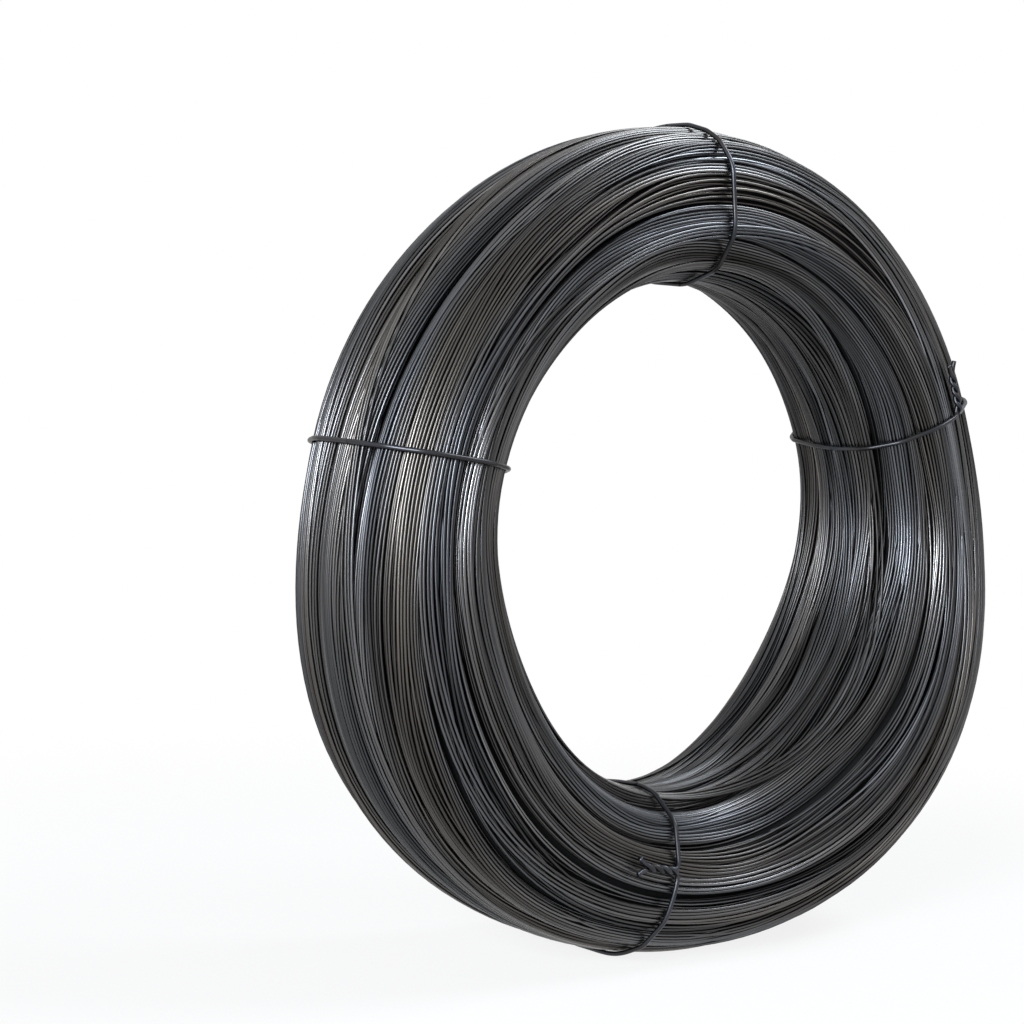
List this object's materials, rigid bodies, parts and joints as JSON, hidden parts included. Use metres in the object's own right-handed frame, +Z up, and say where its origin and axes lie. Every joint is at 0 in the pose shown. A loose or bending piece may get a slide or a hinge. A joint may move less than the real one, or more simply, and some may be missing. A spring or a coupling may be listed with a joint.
{
  "type": "coil of annealed steel wire",
  "caption": "Coil of dark annealed steel wire wound round an open bore, tied with short wires, thicker low on one side, standing on its rim.",
  "frame": {"origin": "on the floor, under the middle of the coil's box", "axes": "+Z up, Y along the bore, near face towards -Y, X across the coil"},
  "size_m": [0.4984, 0.1492, 0.4943],
  "materials": {
    "coil_wire": "dark annealed scale, lightly oiled, satin",
    "tie_wire": "black annealed, satin"
  },
  "bodies": {
    "root": {"wire_coil": "coil_wire", "tie_left": "tie_wire", "tie_top": "tie_wire", "tie_right": "tie_wire", "tie_bottom": "tie_wire"}
  },
  "joints": []
}
